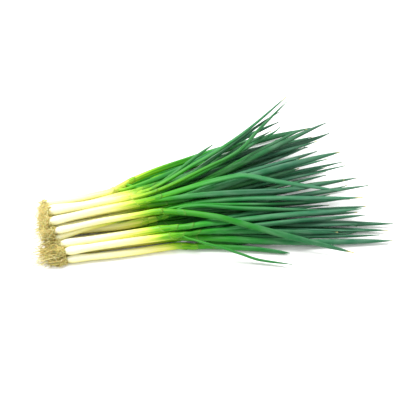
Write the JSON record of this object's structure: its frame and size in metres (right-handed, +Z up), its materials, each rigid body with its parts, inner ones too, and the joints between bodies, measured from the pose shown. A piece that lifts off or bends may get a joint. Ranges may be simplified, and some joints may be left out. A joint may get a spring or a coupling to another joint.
{
  "type": "spring onion bunch",
  "caption": "Bunch of whole spring onions lying on its side: white stalks with matted roots, and tubular green leaves that fan out to pointed tips.",
  "frame": {"origin": "middle of the bunch's footprint, on the surface it lies on", "axes": "+X from the roots to the leaf tips, +Y to the far side in the picture, +Z up"},
  "size_m": [0.4313, 0.2446, 0.0501],
  "materials": {
    "stalk": "moist, smooth, finely ribbed along its length; stands in for plant tissue",
    "leaf": "smooth waxy leaf with fine lengthwise veins; stands in for plant tissue",
    "root": "dry, matted and fibrous; stands in for plant tissue"
  },
  "bodies": {
    "root": {"stalk_01": "stalk", "stalk_02": "stalk", "stalk_03": "stalk", "stalk_04": "stalk", "stalk_05": "stalk", "stalk_06": "stalk", "stalk_07": "stalk", "stalk_08": "stalk", "stalk_09": "stalk", "stalk_10": "stalk", "stalk_11": "stalk", "stalk_12": "stalk", "stalk_13": "stalk", "stalk_14": "stalk", "stalk_15": "stalk", "stalk_16": "stalk", "stalk_17": "stalk", "stalk_18": "stalk", "stalk_19": "stalk", "stalk_20": "stalk", "stalk_21": "stalk", "stalk_22": "stalk", "stalk_23": "stalk", "stalk_24": "stalk", "leaves_01": "leaf", "leaves_02": "leaf", "leaves_03": "leaf", "leaves_04": "leaf", "leaves_05": "leaf", "leaves_06": "leaf", "leaves_07": "leaf", "leaves_08": "leaf", "leaves_09": "leaf", "leaves_10": "leaf", "leaves_11": "leaf", "leaves_12": "leaf", "leaves_13": "leaf", "leaves_14": "leaf", "leaves_15": "leaf", "leaves_16": "leaf", "leaves_17": "leaf", "leaves_18": "leaf", "leaves_19": "leaf", "leaves_20": "leaf", "leaves_21": "leaf", "leaves_22": "leaf", "leaves_23": "leaf", "leaves_24": "leaf", "root_mat_01": "root", "root_mat_02": "root", "root_mat_03": "root", "root_mat_04": "root", "root_mat_05": "root", "root_mat_06": "root", "root_mat_07": "root", "root_mat_08": "root", "root_mat_09": "root", "root_mat_10": "root", "root_mat_11": "root"}
  },
  "joints": []
}
